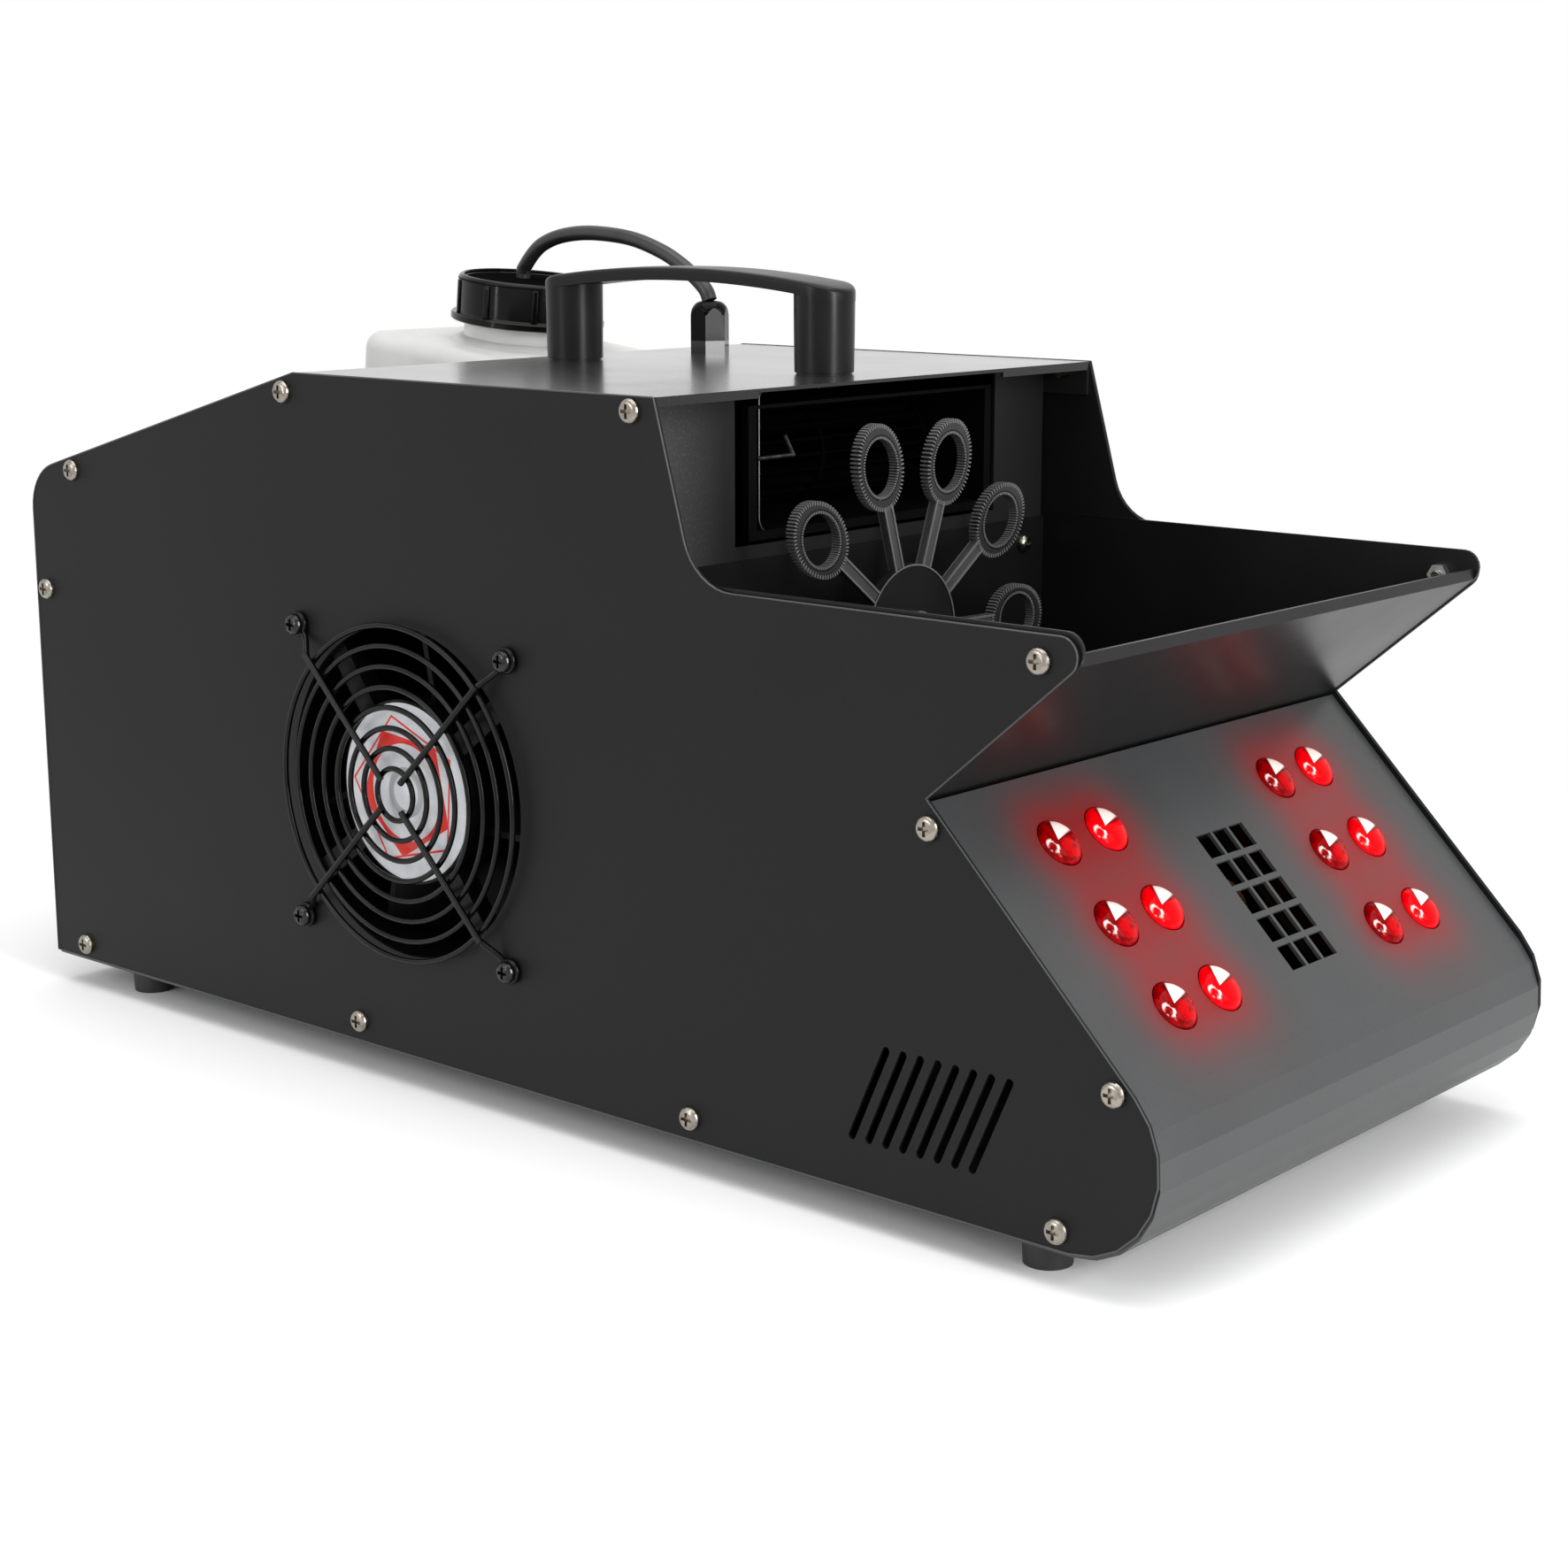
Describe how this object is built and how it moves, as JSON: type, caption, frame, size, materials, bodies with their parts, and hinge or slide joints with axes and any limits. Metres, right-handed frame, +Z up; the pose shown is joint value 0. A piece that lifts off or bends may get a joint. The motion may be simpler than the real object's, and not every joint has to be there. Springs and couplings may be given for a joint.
{
  "type": "fog machine",
  "caption": "Stage fog and bubble machine: black sheet case with red lamp panel, bubble wheel in an open tray, side fan, carrying handle and lift-out fluid jug.",
  "frame": {"origin": "middle of the footprint, on the floor that the feet stand on", "axes": "+X towards the front, where fog and bubbles leave; +Z up; the side fan is on the -Y side"},
  "size_m": [0.5259, 0.2405, 0.2931],
  "materials": {
    "panel_black": "satin fine powder coat",
    "panel_grey": "satin fine powder coat",
    "circuit_white": "solder mask",
    "chip_yellow": "phosphor",
    "lens_red": "clear, lit red",
    "fan_black": "satin",
    "label_silver": "satin foil",
    "steel": "zinc plated",
    "screw_nickel": "nickel plated",
    "rotor_alloy": "satin",
    "motor_grey": "satin",
    "wheel_black": "satin",
    "heater_alloy": "rough",
    "thermostat_black": "matt",
    "nozzle_brass": "turned",
    "tube_clear": "clear",
    "hose_black": "satin",
    "supply_case": "satin",
    "circuit_green": "solder mask",
    "display_dark": "gloss",
    "key_black": "matt",
    "socket_black": "satin",
    "rocker_red": "gloss",
    "handle_black": "satin",
    "gland_black": "gloss",
    "jug_white": "translucent satin",
    "cap_black": "gloss",
    "foot_rubber": "matt"
  },
  "bodies": {
    "case": {"side_panel_near": "panel_black", "side_panel_far": "panel_black", "base_wrap": "panel_grey", "top_cover": "panel_black", "rear_panel": "panel_black", "bulkhead": "panel_black", "bubble_tray": "panel_black", "tank_bay": "panel_black", "led_board": "circuit_white", "led_chips": "chip_yellow", "led_lenses": "lens_red", "fan_frame": "fan_black", "fan_label": "label_silver", "fan_guard": "fan_black", "guard_screws": "fan_black", "fan_nuts": "steel", "blower_housing": "panel_black", "blower_motor": "motor_grey", "gear_motor": "motor_grey", "heater_block": "heater_alloy", "heater_jacket": "heater_alloy", "heater_stands": "steel", "thermostats": "thermostat_black", "fog_nozzle": "nozzle_brass", "pump_body": "motor_grey", "feed_tube": "tube_clear", "inner_hose": "hose_black", "power_supply": "supply_case", "control_board": "circuit_green", "display_window": "display_dark", "power_inlet": "socket_black", "fuse_holder": "socket_black", "switch_frame": "socket_black", "signal_in": "socket_black", "signal_out": "socket_black", "handle": "handle_black", "handle_screws": "steel", "gland_body": "gland_black", "gland_nut": "gland_black", "suction_hose": "hose_black", "feet": "foot_rubber", "foot_screws": "steel", "panel_screws": "screw_nickel", "tray_screws": "screw_nickel", "cheek_nuts": "steel", "wire_hook": "steel"},
    "fan": {"fan_rotor": "fan_black"},
    "blower": {"blower_rotor": "rotor_alloy"},
    "wheel": {"wand_wheel": "wheel_black", "wheel_shaft": "steel"},
    "rocker": {"switch_rocker": "rocker_red"},
    "fuse_carrier": {"fuse_cap": "socket_black"},
    "menu_key": {"button_menu": "key_black"},
    "up_key": {"button_up": "key_black"},
    "down_key": {"button_down": "key_black"},
    "enter_key": {"button_enter": "key_black"},
    "plunger": {"pump_plunger": "steel"},
    "jug": {"jug": "jug_white"},
    "cap": {"jug_cap": "cap_black", "dip_tube": "hose_black"}
  },
  "joints": [
    {"name": "fan_spin", "type": "hinge", "parent": "case", "child": "fan", "pos_m": [-0.0453, -0.0927, 0.1061], "axis": [0, 1, 0], "continuous": true},
    {"name": "blower_spin", "type": "hinge", "parent": "case", "child": "blower", "pos_m": [0.0123, 0.0123, 0.2171], "axis": [0, 1, 0], "continuous": true},
    {"name": "wheel_spin", "type": "hinge", "parent": "case", "child": "wheel", "pos_m": [0.0819, 0.0023, 0.1607], "axis": [1, 0, 0], "continuous": true},
    {"name": "power_rock", "type": "hinge", "parent": "case", "child": "rocker", "pos_m": [-0.254, -0.0417, 0.0465], "axis": [0, -1, 0], "range_deg": [0, 16]},
    {"name": "fuse_turn", "type": "hinge", "parent": "case", "child": "fuse_carrier", "pos_m": [-0.258, -0.0757, 0.0845], "axis": [-1, 0, 0], "range_deg": [0, 90]},
    {"name": "menu_press", "type": "slide", "parent": "case", "child": "menu_key", "axis": [1, 0, 0], "range_m": [0, 0.0015], "stiffness_N_per_m": 400},
    {"name": "up_press", "type": "slide", "parent": "case", "child": "up_key", "axis": [1, 0, 0], "range_m": [0, 0.0015], "stiffness_N_per_m": 400},
    {"name": "down_press", "type": "slide", "parent": "case", "child": "down_key", "axis": [1, 0, 0], "range_m": [0, 0.0015], "stiffness_N_per_m": 400},
    {"name": "enter_press", "type": "slide", "parent": "case", "child": "enter_key", "axis": [1, 0, 0], "range_m": [0, 0.0015], "stiffness_N_per_m": 400},
    {"name": "pump_stroke", "type": "slide", "parent": "case", "child": "plunger", "axis": [1, 0, 0], "range_m": [0, 0.003], "stiffness_N_per_m": 600},
    {"name": "jug_lift", "type": "slide", "parent": "case", "child": "jug", "axis": [0.1115, 0, 0.9938], "range_m": [0, 0.06], "deforming": ["suction_hose"]},
    {"name": "cap_turn", "type": "hinge", "parent": "jug", "child": "cap", "pos_m": [-0.15717, 0.0563, 0.25508], "axis": [0.1115, 0, 0.9938], "range_deg": [0, 540]}
  ]
}
